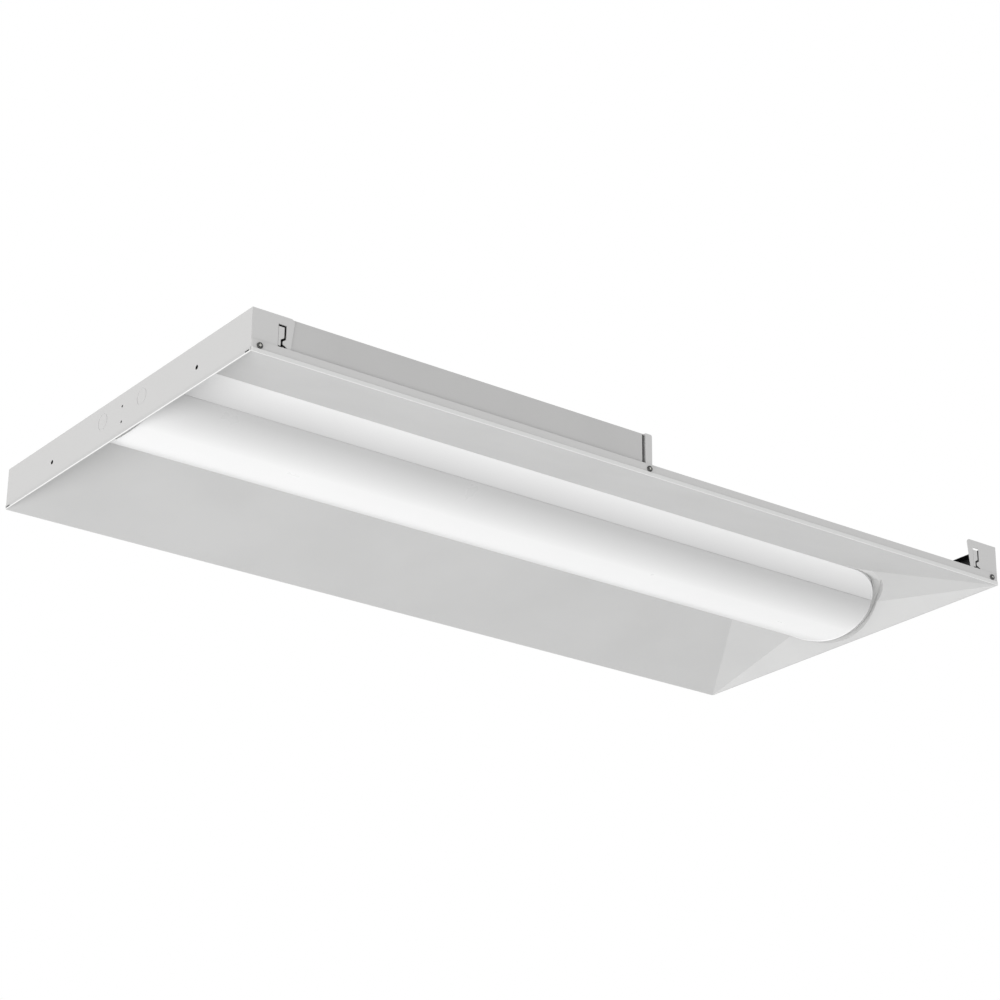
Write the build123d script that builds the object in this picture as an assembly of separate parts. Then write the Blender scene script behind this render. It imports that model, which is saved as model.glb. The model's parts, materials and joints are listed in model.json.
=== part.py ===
from build123d import *

import os
from math import sqrt

# Recessed troffer light for a lay-in ceiling grid, in millimetres.
# +Z points up into the ceiling void, and z = 0 is the plane that the grid carries.
# X runs along the body and Y across it. The front is the -Y side.
# The half-length back cover is at the -X end.

# ---------------------------------------------------------------- sizes
# Body
body_length = 1213.0  # over the hemmed bottom edges of the end plates
body_width = 603.0  # over the hemmed bottom edges of the side rails
end_plate_height = 56.5
sheet = 0.8  # steel of the body
hem_height = 5.4  # folded band along the bottom of rails and end plates
rail_height = 16.0

# Side reflectors: one slope from the rail up to the edge of the lens
slope_inner_y = 129.5
slope_inner_z = 50.8
slope_rise = 0.83  # the sloped sheet's wall, measured upright
lip_height = 1.6

# End reflectors: a steep main face and two corner facets round a round-ended opening
end_face_slope = 1.245  # rise over run of the main face
end_rise = 1.2  # the end reflector's wall, measured upright
end_lip_height = 12.0
end_lip_inset = 15.0  # how far the lip on the end plate stops short of the rails
rim_wall = 0.8
right_mitre_inset = 108.3  # from the body's end to where a slope's mitre meets the opening
right_crease_y = 91.0
right_opening_inset = 5.5
right_opening_half_width = 151.5
right_opening_crown_radius = 201.6
right_opening_shoulder_radius = 50.0
right_flare_start_inset = 124.5  # where the opening starts to widen past the slope's edge
left_opening_inset = 5.0
left_opening_crown_radius = 400.0
left_opening_shoulder_radius = 22.0

# Lens: a centre bulge between two raised wings, widely rounded at the right end and
# nearly square at the left, with an upright wall round each end
lens_bottom_z = 5.0
valley_y = 89.0
valley_z = 32.0
lens_edge_gap = 0.3
lens_wall = 1.8
right_lens_inset = 19.5
right_lens_crown_radius = 300.0
right_lens_shoulder_radius = 84.0
left_lens_inset = 10.0
left_lens_crown_radius = 400.0
left_lens_shoulder_radius = 25.0
hook_reach = 3.8
hook_wall = 1.3
hook_end_gap = 2.0
cap_recess = 8.0  # how far an end cap stands back above the lens's face
cap_wall = 1.8

# Light channel above the lens
channel_half_width = 160.8
foot_width = 18.0
foot_inset = 101.5  # from the body's end to the ends of the feet
channel_wall_lift = 1.5  # the plain wall's height above the slope that carries the feet

# Light boards
board_length = 470.0
board_width = 22.0
board_wall = 1.6
board_row_y = 46.0
board_gap = 8.0  # between the two boards of a row
package_count = 24
package_side = 3.0
package_height = 0.7
connector_length = 9.0
connector_width = 7.0
connector_height = 3.6

# End plates
top_flange_reach = 10.0
wide_flange_reach = 57.4
narrow_flange_reach = 54.9
flange_slant = 6.8
flange_bottom = 2.0
flange_corner_radius = 5.0
hanger_hole_radius = 3.0
hanger_hole_y = 178.0
hanger_hole_z = 25.0
pilot_hole_radius = 1.8
pilot_hole_heights = (18.0, 39.0)
knockout_radius = 11.1
knockout_slot = 0.9
knockout_bridge = 4.0
knockout_y = 48.0
knockout_z = 35.0

# Grid clips, cut out of the end plates' side flanges
clip_inset_wide = 36.5  # hinge line's distance from the body's end, on a wide flange
clip_inset_narrow = 45.5
clip_width = 8.2
clip_foot_width = 3.6
clip_bottom = 18.0
clip_step = 26.0
clip_top = 42.5
clip_slit = 3.0
clip_hinge_gap = 0.4
clip_tail_length = 8.0
clip_tail_angle = -30.0
clip_window_margin = 3.0  # cleared in the back cover's wall behind the clip

# Back cover and the bulkhead that closes it near the middle
cover_end_x = -22.0
cover_wall_end_x = -27.0
cover_wall_bottom = 17.0
tab_width = 10.6
tab_corner_radius = 2.5
bulkhead_height = 57.5
bulkhead_clearance = 0.4

# Wiring access plate on the back cover
access_inset = 206.5  # from the body's left end to the plate's middle
access_off_centre = 1.55  # toward the light channel, from the middle of the space beside it
access_length = 130.0
access_width = 90.0
access_overlap = 12.0
access_corner_radius = 5.0

# Driver, under the front of the back cover
driver_inset = 266.5  # from the body's left end to the driver's middle
driver_wall_gap = 8.3  # from the cover's front wall
driver_length = 280.0
driver_width = 56.0
driver_height = 26.0
driver_edge_radius = 2.5
driver_tab_length = 14.0
driver_tab_wall = 1.2
terminal_length = 24.0
terminal_width = 40.0
terminal_height = 14.0
terminal_port = 4.5

# Screws
screw_shank_radius = 1.75
screw_hole_gap = 0.15
screw_head_radius = 4.0
screw_head_height = 2.2
screw_shank_length = 7.0
screw_head_chamfer = 0.9
rail_screw_z = 9.4
corner_screw_inset = 11.8
cover_screw_inset = 75.0
small_screw_scale = 0.8

# ---------------------------------------------------------------- derived places
end_x = body_length / 2
web_outer_x = end_x - sheet
web_inner_x = web_outer_x - sheet
rail_outer_y = body_width / 2 - sheet
rail_inner_y = rail_outer_y - sheet
flange_inner_y = rail_inner_y - sheet
cover_wall_inner_y = flange_inner_y - sheet
cover_top_z = end_plate_height - sheet
channel_top_z = cover_top_z - sheet
channel_under_z = channel_top_z - sheet
slope_run = rail_inner_y - slope_inner_y
lip_top_z = slope_inner_z + lip_height
lens_half_width = slope_inner_y - lens_edge_gap
wing_slope = (slope_inner_z - valley_z) / (lens_half_width - valley_y)
clip_hinge_wide = end_x - clip_inset_wide
clip_hinge_narrow = end_x - clip_inset_narrow
corner_screw_x = end_x - corner_screw_inset
cover_screw_y = body_width / 2 - cover_screw_inset
tab_x = cover_end_x + tab_width / 2
access_x = access_inset - end_x
access_y = (cover_wall_inner_y + channel_half_width) / 2 - access_off_centre
driver_x = driver_inset - end_x
driver_y = cover_wall_inner_y - driver_wall_gap - driver_width / 2
flare_start_x = end_x - right_flare_start_inset
foot_half_length = end_x - foot_inset
screw_hole_radius = screw_shank_radius + screw_hole_gap


# ---------------------------------------------------------------- helpers
def block(x_span, y_span, z_span):
    """Box between the low and high ends of three spans."""
    size = [high - low for low, high in (x_span, y_span, z_span)]
    middle = [(high + low) / 2 for low, high in (x_span, y_span, z_span)]
    return Pos(*middle) * Box(*size)


def raised_sheet(corners, rise):
    """Flat sheet on the given corners, thickened straight up."""
    outline = Polyline(*corners, close=True)
    return extrude(make_face(outline), amount=rise, dir=(0, 0, 1))


def plate_in_xz(outline_points, y_low, y_high):
    """Upright plate from (x, z) points, between two values of y."""
    outline = Polyline(*[(x, y_low, z) for x, z in outline_points], close=True)
    return extrude(make_face(outline), amount=y_high - y_low, dir=(0, 1, 0))


def plate_in_yz(outline_points, x_low, x_high):
    """Upright plate from (y, z) points, between two values of x."""
    outline = Polyline(*[(x_low, y, z) for y, z in outline_points], close=True)
    return extrude(make_face(outline), amount=x_high - x_low, dir=(1, 0, 0))


def rear_copy(part):
    """The same part on the rear side."""
    return mirror(part, about=Plane.XZ)


def turned_copy(part):
    """The same part at the other end, turned half round."""
    return Rot(0, 0, 180) * part


def slope_height(y):
    """Height of a side slope's room face at a distance y from the middle."""
    return slope_inner_z * (rail_inner_y - abs(y)) / slope_run


def arch_places(half_width, tip_x, crown_radius, shoulder_radius):
    """Where a round end's straight sides, shoulders and crown meet."""
    crown_x = tip_x - crown_radius
    rise = half_width - shoulder_radius
    reach = crown_radius - shoulder_radius
    shoulder_x = crown_x + sqrt(reach**2 - rise**2)
    join_x = crown_x + (shoulder_x - crown_x) * crown_radius / reach
    join_y = rise * crown_radius / reach
    return shoulder_x, join_x, join_y


def arched_prism(half_width, tip_x, crown_radius, shoulder_radius, flare=None):
    """Upright prism of a round-ended strip, from x = 0 to its crown.

    A flare (x, y) is where a narrower strip starts to widen to the half-width.
    """
    shoulder_x, join_x, join_y = arch_places(half_width, tip_x, crown_radius, shoulder_radius)
    flare_x, narrow_y = flare or (shoulder_x / 2, half_width)
    start = Line((0, -narrow_y), (flare_x, -narrow_y))
    side = Line((flare_x, -narrow_y), (shoulder_x, -half_width))
    shoulder = TangentArc((shoulder_x, -half_width), (join_x, -join_y), tangent=(1, 0))
    crown = ThreePointArc((join_x, -join_y), (tip_x, 0), (join_x, join_y))
    near = start + side + shoulder
    back = Line((0, narrow_y), (0, -narrow_y))
    outline = near + crown + mirror(near, about=Plane.XZ) + back
    return extrude(make_face(outline), amount=channel_under_z)


def right_opening(grow=0.0):
    """Prism of the opening at the right end, grown outward."""
    return arched_prism(
        right_opening_half_width + grow,
        end_x - right_opening_inset + grow,
        right_opening_crown_radius + grow,
        right_opening_shoulder_radius + grow,
        (flare_start_x, slope_inner_y + grow),
    )


def left_opening(grow=0.0):
    """Prism of the opening at the left end, turned to point to +X, grown outward."""
    return arched_prism(
        slope_inner_y + grow,
        end_x - left_opening_inset + grow,
        left_opening_crown_radius + grow,
        left_opening_shoulder_radius + grow,
    )


def right_lens(grow=0.0):
    """Prism of the lens's outline over the right half, grown outward."""
    return arched_prism(
        lens_half_width + grow,
        end_x - right_lens_inset + grow,
        right_lens_crown_radius + grow,
        right_lens_shoulder_radius + grow,
    )


def left_lens(grow=0.0):
    """Prism of the lens's outline over the left half, turned to point to +X."""
    return arched_prism(
        lens_half_width + grow,
        end_x - left_lens_inset + grow,
        left_lens_crown_radius + grow,
        left_lens_shoulder_radius + grow,
    )


def end_corners(side):
    """Corner, mitre and crease points of one end, turned to point to +X.

    Each is a list of the front point and the rear point.
    """
    if side == "right":
        mitre_x = end_x - right_mitre_inset
        crease_y = right_crease_y
        crown_x = end_x - right_opening_inset - right_opening_crown_radius
        crease_x = crown_x + sqrt(right_opening_crown_radius**2 - crease_y**2)
    else:
        mitre_x, crease_x, crease_y = arch_places(
            slope_inner_y,
            end_x - left_opening_inset,
            left_opening_crown_radius,
            left_opening_shoulder_radius,
        )
    crease_z = end_face_slope * (web_inner_x - crease_x)
    corner = (web_inner_x, rail_inner_y, 0)
    mitre = (mitre_x, slope_inner_y, slope_inner_z)
    crease = (crease_x, crease_y, crease_z)
    return [[(x, -y, z), (x, y, z)] for x, y, z in (corner, mitre, crease)]


def above_lens_face(lift, half_width):
    """Everything above the lens's room face, raised by lift."""
    edge_z = valley_z + wing_slope * (half_width - valley_y) + lift
    wing = Line((-half_width, edge_z), (-valley_y, valley_z + lift))
    bulge = ThreePointArc(
        (-valley_y, valley_z + lift), (0, lens_bottom_z + lift), (valley_y, valley_z + lift)
    )
    far_wing = Line((valley_y, valley_z + lift), (half_width, edge_z))
    ceiling_z = 2 * end_plate_height + lift
    far_side = Line((half_width, edge_z), (half_width, ceiling_z))
    ceiling = Line((half_width, ceiling_z), (-half_width, ceiling_z))
    side = Line((-half_width, ceiling_z), (-half_width, edge_z))
    section = make_face(wing + bulge + far_wing + far_side + ceiling + side)
    return extrude(Plane.YZ * section, amount=web_inner_x, both=True)


def screw(scale=1.0):
    """Pan-head screw along Z, with the underside of its head at z = 0."""
    head = Cylinder(
        screw_head_radius * scale,
        screw_head_height * scale,
        align=(Align.CENTER, Align.CENTER, Align.MIN),
    )
    head = chamfer(head.edges().sort_by(Axis.Z)[-1], screw_head_chamfer * scale)
    shank = Cylinder(
        screw_shank_radius * scale,
        screw_shank_length * scale,
        align=(Align.CENTER, Align.CENTER, Align.MAX),
    )
    return head + shank


def screw_holes(places, radius):
    """Cutters along Y through the front rail and what lies behind it."""
    depth = 4 * sheet
    return [
        Pos(x, -flange_inner_y, z) * Rot(90, 0, 0) * Cylinder(radius, 2 * depth)
        for x, z in places
    ]


rail_screw_places = [
    (-corner_screw_x, rail_screw_z),
    (tab_x, rail_screw_z),
    (corner_screw_x, rail_screw_z),
]


# ---------------------------------------------------------------- reflectors
def slope_corners():
    """Corners of the front slope's room face."""
    right_mitre = end_corners("right")[1][0]
    left_x, left_y, left_z = end_corners("left")[1][0]
    return [
        (-web_inner_x, -rail_inner_y, 0),
        (web_inner_x, -rail_inner_y, 0),
        right_mitre,
        (-left_x, left_y, left_z),
    ]


def side_reflector():
    """Front side reflector: hemmed rail, slope and the lip beside the lens."""
    ends = (-web_inner_x, web_inner_x)
    rail = block(ends, (-rail_outer_y, -rail_inner_y), (0, rail_height))
    hem = block(ends, (-body_width / 2, -rail_outer_y), (0, hem_height))
    hem = fillet(hem.edges().filter_by(Axis.X).group_by(Axis.Y)[0], sheet / 2)
    slope = raised_sheet(slope_corners(), slope_rise) - right_opening()
    lip = block(
        (-end_corners("left")[1][0][0], flare_start_x),
        (-slope_inner_y - sheet, -slope_inner_y),
        (slope_inner_z, lip_top_z),
    )
    return rail + hem + slope + lip - screw_holes(rail_screw_places, screw_hole_radius)


def end_surface(side, rise):
    """One end reflector's main face and corner facets, thickened straight up."""
    corner, mitre, crease = end_corners(side)  # front and rear point of each
    main = raised_sheet([corner[0], crease[0], crease[1], corner[1]], rise)
    facet = raised_sheet([corner[0], mitre[0], crease[0]], rise)
    return main + facet + rear_copy(facet)


def slope_backs(side, rise):
    """The space above both side slopes near one end, turned to point to +X."""
    mitre_x = end_corners(side)[1][0][0]
    back = raised_sheet(
        [
            (flare_start_x, -rail_inner_y, slope_rise),
            (web_inner_x, -rail_inner_y, slope_rise),
            (mitre_x, -slope_inner_y, slope_inner_z + slope_rise),
            (flare_start_x, -slope_inner_y, slope_inner_z + slope_rise),
        ],
        rise,
    )
    return back + rear_copy(back)


def end_reflector(side, opening):
    """End reflector: faceted sheet, upright rim and the lip on the end plate."""
    faces = end_surface(side, end_rise) - opening(0)
    ring = opening(rim_wall) - opening(0)
    rim = ring & end_surface(side, end_plate_height)
    if side == "right":
        rim += ring & slope_backs(side, end_plate_height)
    rim &= block((flare_start_x, web_inner_x), (-body_width, body_width), (0, channel_under_z))
    lip_y = body_width / 2 - end_lip_inset
    lip = block((web_inner_x - sheet, web_inner_x), (-lip_y, lip_y), (end_rise / 2, end_lip_height))
    return faces + rim + lip


# ---------------------------------------------------------------- lens
def lens():
    """Thin acrylic lens with walled ends, hung on the side reflectors' lips by hooks."""
    outline = right_lens() + turned_copy(left_lens())
    inside = right_lens(-lens_wall) + turned_copy(left_lens(-lens_wall))
    skin = above_lens_face(0, lens_half_width) - above_lens_face(lens_wall, lens_half_width)
    hook_top_z = lip_top_z + hook_wall
    below_hooks = block((-end_x, end_x), (-body_width, body_width), (0, hook_top_z))
    wall = (outline - inside) & above_lens_face(0, lens_half_width) & below_hooks
    tray = (skin & outline) + wall
    left_end = arch_places(
        lens_half_width,
        end_x - left_lens_inset,
        left_lens_crown_radius,
        left_lens_shoulder_radius,
    )[0]
    length = (hook_end_gap - left_end, flare_start_x - hook_end_gap)
    hook = block(length, (-lens_half_width - hook_reach, -lens_half_width), (lip_top_z, hook_top_z))
    return tray + hook + rear_copy(hook)


def lens_end_cap(opening, outline):
    """Round-ended cap that closes the gap between the lens's end wall and the rim."""
    ring = opening(-lens_edge_gap / 2) - outline(lens_edge_gap)
    ring &= block((flare_start_x, web_inner_x), (-body_width, body_width), (0, channel_under_z))
    low = ring & above_lens_face(cap_recess, right_opening_half_width)
    top_z = channel_under_z - cap_wall
    top = ring & block((0, end_x), (-body_width, body_width), (top_z, channel_under_z))
    return low + top


# ---------------------------------------------------------------- light channel and boards
def light_channel():
    """Wide hat section that carries the light boards above the lens."""
    ends = (-web_inner_x, web_inner_x)
    top = block(ends, (-channel_half_width, channel_half_width), (channel_under_z, channel_top_z))
    inner_y = channel_half_width - sheet
    wall_bottom = slope_height(inner_y) + slope_rise + channel_wall_lift
    wall = block(ends, (-channel_half_width, -inner_y), (wall_bottom, channel_top_z))
    foot_outer_y = channel_half_width + foot_width
    foot = raised_sheet(
        [
            (-foot_half_length, -foot_outer_y, slope_height(foot_outer_y) + slope_rise),
            (foot_half_length, -foot_outer_y, slope_height(foot_outer_y) + slope_rise),
            (foot_half_length, -inner_y, slope_height(inner_y) + slope_rise),
            (-foot_half_length, -inner_y, slope_height(inner_y) + slope_rise),
        ],
        slope_rise,
    )
    riser = block(
        (-foot_half_length, foot_half_length),
        (-channel_half_width, -inner_y),
        (slope_height(inner_y) + slope_rise, wall_bottom + sheet),
    )
    side = wall + riser + foot
    return top + side + rear_copy(side)


def board_middles():
    """Name and middle of each light board."""
    offset = (board_length + board_gap) / 2
    return {
        "front_left": (-offset, -board_row_y),
        "front_right": (offset, -board_row_y),
        "rear_left": (-offset, board_row_y),
        "rear_right": (offset, board_row_y),
    }


def led_board(x, y):
    """Long printed board against the channel's underside."""
    z = channel_under_z - board_wall / 2
    return Pos(x, y, z) * Box(board_length, board_width, board_wall)


def led_packages(x, y):
    """The row of light packages under one board."""
    pitch = board_length / package_count
    z = channel_under_z - board_wall - package_height / 2
    return [
        Pos(x + pitch * (i - (package_count - 1) / 2), y, z)
        * Box(package_side, package_side, package_height)
        for i in range(package_count)
    ]


def board_connectors():
    """One push-in connector on each board, near the middle of the body."""
    z = channel_under_z - board_wall - connector_height / 2
    inset = board_length / 2 - connector_length
    shapes = []
    for x, y in board_middles().values():
        toward_middle = -1 if x > 0 else 1
        edge_y = y + (board_width - connector_width) / 2 * (1 if y > 0 else -1)
        body = Box(connector_length, connector_width, connector_height)
        mouth = Pos(-toward_middle * connector_length / 2, 0, 0) * Box(
            connector_length, connector_width / 2, connector_height / 2
        )
        shapes.append(Pos(x + toward_middle * inset, edge_y, z) * (body - mouth))
    return shapes


# ---------------------------------------------------------------- end plates and grid clips
def clip_outline(hinge_x):
    """Corners of a clip's stepped tongue, as (x, z), with its hinge line at hinge_x."""
    start_x = hinge_x + clip_hinge_gap
    return [
        (start_x, clip_bottom),
        (hinge_x + clip_foot_width, clip_bottom),
        (hinge_x + clip_foot_width, clip_step),
        (hinge_x + clip_width, clip_step + clip_slit),
        (hinge_x + clip_width, clip_top),
        (start_x, clip_top),
    ]


def clip_slits(hinge_x):
    """Cutter for the slits round a clip that hinges at hinge_x on a front flange."""
    foot_x = hinge_x + clip_foot_width + clip_slit
    outer_x = hinge_x + clip_width + clip_slit
    outline = [
        (hinge_x, clip_bottom - clip_slit),
        (foot_x, clip_bottom - clip_slit),
        (foot_x, clip_step - clip_slit / 2),
        (outer_x, clip_step + clip_slit / 2),
        (outer_x, clip_top + clip_slit),
        (hinge_x, clip_top + clip_slit),
    ]
    tail = Box(clip_tail_length, 2 * sheet, clip_slit)
    tail_x = foot_x + clip_tail_length / 4
    tail = Pos(tail_x, -flange_inner_y, clip_bottom) * Rot(0, -clip_tail_angle, 0) * tail
    return plate_in_xz(outline, -rail_outer_y, -cover_wall_inner_y) + tail


def clip_clearance(hinge_x):
    """Cutter for the notch in the cover's front wall behind a clip."""
    return block(
        (hinge_x - clip_window_margin, hinge_x + clip_width + clip_window_margin),
        (-flange_inner_y, -cover_wall_inner_y),
        (0, clip_top + clip_window_margin),
    )


def grid_clip(hinge_x):
    """Tongue that bends out of a front flange to grip the ceiling grid."""
    return plate_in_xz(clip_outline(hinge_x), -rail_inner_y, -flange_inner_y)


def side_flange(end, reach, hinge_x):
    """Front return flange at one end (+1 or -1), with the slits round its clip."""
    edge_x = web_inner_x - reach
    outline = [
        (end * (edge_x + flange_slant), flange_bottom),
        (end * web_outer_x, flange_bottom),
        (end * web_outer_x, end_plate_height),
        (end * edge_x, end_plate_height),
    ]
    flange = plate_in_xz(outline, -rail_inner_y, -flange_inner_y)
    top_edges = flange.edges().filter_by(Axis.Y).group_by(Axis.Z)[-1]
    inner_edge = sorted(top_edges, key=lambda edge: abs(edge.center().X))[0]
    flange = fillet(inner_edge, flange_corner_radius)
    return flange - clip_slits(hinge_x)


def knockout():
    """Ring slot with two bridges, cut along X."""
    ring = Cylinder(knockout_radius, 4 * sheet) - Cylinder(knockout_radius - knockout_slot, 4 * sheet)
    bridge = Box(3 * knockout_radius, knockout_bridge, 4 * sheet)
    return Rot(0, 90, 0) * (ring - bridge)


def end_plate():
    """End plate at +X: hemmed web, top flange and two side flanges."""
    web = block((web_inner_x, web_outer_x), (-rail_inner_y, rail_inner_y), (0, end_plate_height))
    hem = block((web_outer_x, body_length / 2), (-rail_inner_y, rail_inner_y), (0, hem_height))
    hem = fillet(hem.edges().filter_by(Axis.Y).group_by(Axis.X)[-1], sheet / 2)
    top = block(
        (web_inner_x - top_flange_reach, web_inner_x),
        (-flange_inner_y, flange_inner_y),
        (cover_top_z, end_plate_height),
    )
    front = side_flange(1, narrow_flange_reach, clip_hinge_narrow)
    rear = turned_copy(side_flange(-1, wide_flange_reach, -clip_hinge_wide))
    plate = web + hem + top + front + rear
    hole = Rot(0, 90, 0) * Cylinder(hanger_hole_radius, 4 * sheet)
    plate -= [Pos(web_inner_x, side * hanger_hole_y, hanger_hole_z) * hole for side in (-1, 1)]
    plate -= [Pos(web_inner_x, side * knockout_y, knockout_z) * knockout() for side in (-1, 1)]
    pilot = Rot(0, 90, 0) * Cylinder(pilot_hole_radius, 4 * sheet)
    plate -= [Pos(web_inner_x, 0, z) * pilot for z in pilot_hole_heights]
    corner_hole = screw_holes([(corner_screw_x, rail_screw_z)], screw_hole_radius)
    plate -= corner_hole + [rear_copy(cutter) for cutter in corner_hole]
    cover_hole = Cylinder(screw_hole_radius * small_screw_scale, 4 * sheet)
    cover_hole_x = web_inner_x - top_flange_reach / 2
    return plate - [
        Pos(cover_hole_x, side * cover_screw_y, cover_top_z) * cover_hole for side in (-1, 1)
    ]


# ---------------------------------------------------------------- back cover
def access_opening(margin):
    """Cutter or plate outline over the wiring access opening."""
    outline = RectangleRounded(
        access_length - 2 * margin, access_width - 2 * margin, access_corner_radius
    )
    return Pos(access_x, access_y, 0) * outline


def access_screw_places():
    """Middles of the access plate's four screws."""
    reach_x = (access_length - access_overlap) / 2
    reach_y = (access_width - access_overlap) / 2
    return [(access_x + sx * reach_x, access_y + sy * reach_y) for sx in (-1, 1) for sy in (-1, 1)]


def housing_cover():
    """Back cover over the -X half: flat top and two tall side walls."""
    top = block(
        (-web_inner_x, cover_end_x), (-flange_inner_y, flange_inner_y), (channel_top_z, cover_top_z)
    )
    wall = block(
        (-web_inner_x, cover_wall_end_x),
        (-flange_inner_y, -cover_wall_inner_y),
        (cover_wall_bottom, cover_top_z),
    )
    front = wall - clip_clearance(-clip_hinge_wide)
    rear = rear_copy(wall) - turned_copy(clip_clearance(clip_hinge_narrow))
    cover = top + front + rear
    cover -= extrude(Pos(0, 0, channel_top_z) * access_opening(access_overlap), amount=sheet)
    hole = Cylinder(screw_hole_radius * small_screw_scale, 4 * sheet)
    cover -= [Pos(x, y, cover_top_z) * hole for x, y in access_screw_places()]
    end_hole_x = top_flange_reach / 2 - web_inner_x
    cover -= [Pos(end_hole_x, side * cover_screw_y, cover_top_z) * hole for side in (-1, 1)]
    return cover - [Pos(x, y, cover_top_z) * hole for x, y in driver_screw_places()]


def access_plate():
    """Screwed plate over the wiring access opening, with a conduit knockout."""
    plate = extrude(Pos(0, 0, cover_top_z) * access_opening(0), amount=sheet)
    hole = Cylinder(screw_hole_radius * small_screw_scale, 4 * sheet)
    plate -= [Pos(x, y, cover_top_z) * hole for x, y in access_screw_places()]
    return plate - Pos(access_x, access_y, cover_top_z) * Rot(0, -90, 0) * knockout()


def mid_bulkhead():
    """Bulkhead at the cover's inner end, with a screwed tab at each rail."""
    gap = bulkhead_clearance
    seat = slope_rise + slope_rise + gap
    wall_y = channel_half_width + gap
    web = plate_in_yz(
        [
            (-rail_inner_y, slope_height(rail_inner_y) + seat),
            (-wall_y, slope_height(wall_y) + seat),
            (-wall_y, channel_top_z),
            (wall_y, channel_top_z),
            (wall_y, slope_height(wall_y) + seat),
            (rail_inner_y, slope_height(rail_inner_y) + seat),
            (rail_inner_y, bulkhead_height),
            (-rail_inner_y, bulkhead_height),
        ],
        cover_end_x,
        cover_end_x + sheet,
    )
    tab = block(
        (cover_end_x, cover_end_x + tab_width),
        (-rail_inner_y, -flange_inner_y),
        (flange_bottom, bulkhead_height),
    )
    corner = tab.edges().filter_by(Axis.Y).group_by(Axis.Z)[-1].sort_by(Axis.X)[-1]
    tab = fillet(corner, tab_corner_radius)
    tab -= screw_holes([(tab_x, rail_screw_z)], screw_hole_radius)
    return web + tab + rear_copy(tab)


# ---------------------------------------------------------------- driver
def driver_screw_places():
    """Middles of the driver's two mounting screws."""
    reach = (driver_length + driver_tab_length) / 2
    return [(driver_x - reach, -driver_y), (driver_x + reach, -driver_y)]


def driver_case():
    """Driver's folded can, hung from the cover by a tab at each end."""
    can = Pos(driver_x, -driver_y, channel_top_z - driver_height / 2) * Box(
        driver_length, driver_width, driver_height
    )
    can = fillet(can.edges().filter_by(Axis.X), driver_edge_radius)
    tab = Pos(driver_x, -driver_y, channel_top_z - driver_tab_wall / 2) * Box(
        driver_length + 2 * driver_tab_length, driver_width / 2, driver_tab_wall
    )
    hole = Cylinder(screw_hole_radius * small_screw_scale, 4 * driver_tab_wall)
    return can + tab - [Pos(x, y, channel_top_z) * hole for x, y in driver_screw_places()]


def driver_terminal():
    """Push-in terminal block under the driver's mounting tab."""
    x = driver_x + driver_length / 2 + terminal_length / 2
    z = channel_top_z - driver_height + terminal_height / 2
    terminal = Pos(x, -driver_y, z) * Box(terminal_length, terminal_width, terminal_height)
    port = Box(terminal_length / 2, terminal_port, terminal_port)
    pitch = terminal_width / 5
    ports = [Pos(x + terminal_length / 2, pitch * i - driver_y, z) * port for i in (-2, -1, 0, 1, 2)]
    return terminal - ports


# ---------------------------------------------------------------- screws
def rail_screws():
    """The six screws that hold the end plates and the bulkhead to the rails."""
    front = [
        Pos(x, -rail_outer_y, z) * Rot(90, 0, 0) * screw() for x, z in rail_screw_places
    ]
    return front + [rear_copy(each) for each in front]


def top_screws(places, z):
    """Small screws driven down into the cover."""
    return [Pos(x, y, z) * screw(small_screw_scale) for x, y in places]


def driver_screws():
    """Small screws driven up through the driver's tabs."""
    z = channel_top_z - driver_tab_wall
    return [
        Pos(x, y, z) * Rot(180, 0, 0) * screw(small_screw_scale)
        for x, y in driver_screw_places()
    ]


# ---------------------------------------------------------------- assembly
def build_parts():
    """Every node of the light, by name."""
    end_screw_x = top_flange_reach / 2 - web_inner_x
    parts = {
        "side_reflector_front": side_reflector(),
        "side_reflector_rear": rear_copy(side_reflector()),
        "end_reflector_right": end_reflector("right", right_opening),
        "end_reflector_left": turned_copy(end_reflector("left", left_opening)),
        "end_plate_right": end_plate(),
        "end_plate_left": turned_copy(end_plate()),
        "light_channel": light_channel(),
        "housing_cover": housing_cover(),
        "mid_bulkhead": mid_bulkhead(),
        "access_plate": access_plate(),
        "lens": lens(),
        "lens_end_cap_right": lens_end_cap(right_opening, right_lens),
        "lens_end_cap_left": turned_copy(lens_end_cap(left_opening, left_lens)),
        "board_connectors": board_connectors(),
        "driver_case": driver_case(),
        "driver_terminal": driver_terminal(),
        "driver_screws": driver_screws(),
        "rail_screws": rail_screws(),
        "access_plate_screws": top_screws(access_screw_places(), end_plate_height),
        "cover_screws": top_screws(
            [(end_screw_x, -cover_screw_y), (end_screw_x, cover_screw_y)], end_plate_height
        ),
        "grid_clip_front_left": grid_clip(-clip_hinge_wide),
        "grid_clip_front_right": grid_clip(clip_hinge_narrow),
        "grid_clip_rear_right": turned_copy(grid_clip(-clip_hinge_wide)),
        "grid_clip_rear_left": turned_copy(grid_clip(clip_hinge_narrow)),
    }
    for name, (x, y) in board_middles().items():
        parts["led_board_" + name] = led_board(x, y)
        parts["led_packages_" + name] = led_packages(x, y)
    return parts


os.makedirs("parts", exist_ok=True)
for node, shape in build_parts().items():
    items = shape if isinstance(shape, list) else [shape]
    solids = [solid for item in items for solid in item.solids()]
    whole = solids[0] if len(solids) == 1 else Compound(children=solids)
    export_step(whole, f"parts/{node}.step")
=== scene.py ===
"""Recessed troffer light: finishes on the nodes, small modelled details and a studio."""

import json
import logging
import math
from collections.abc import Callable
from dataclasses import dataclass, field
from enum import Enum

import bpy
from mathutils import Euler, Matrix, Vector

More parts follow.
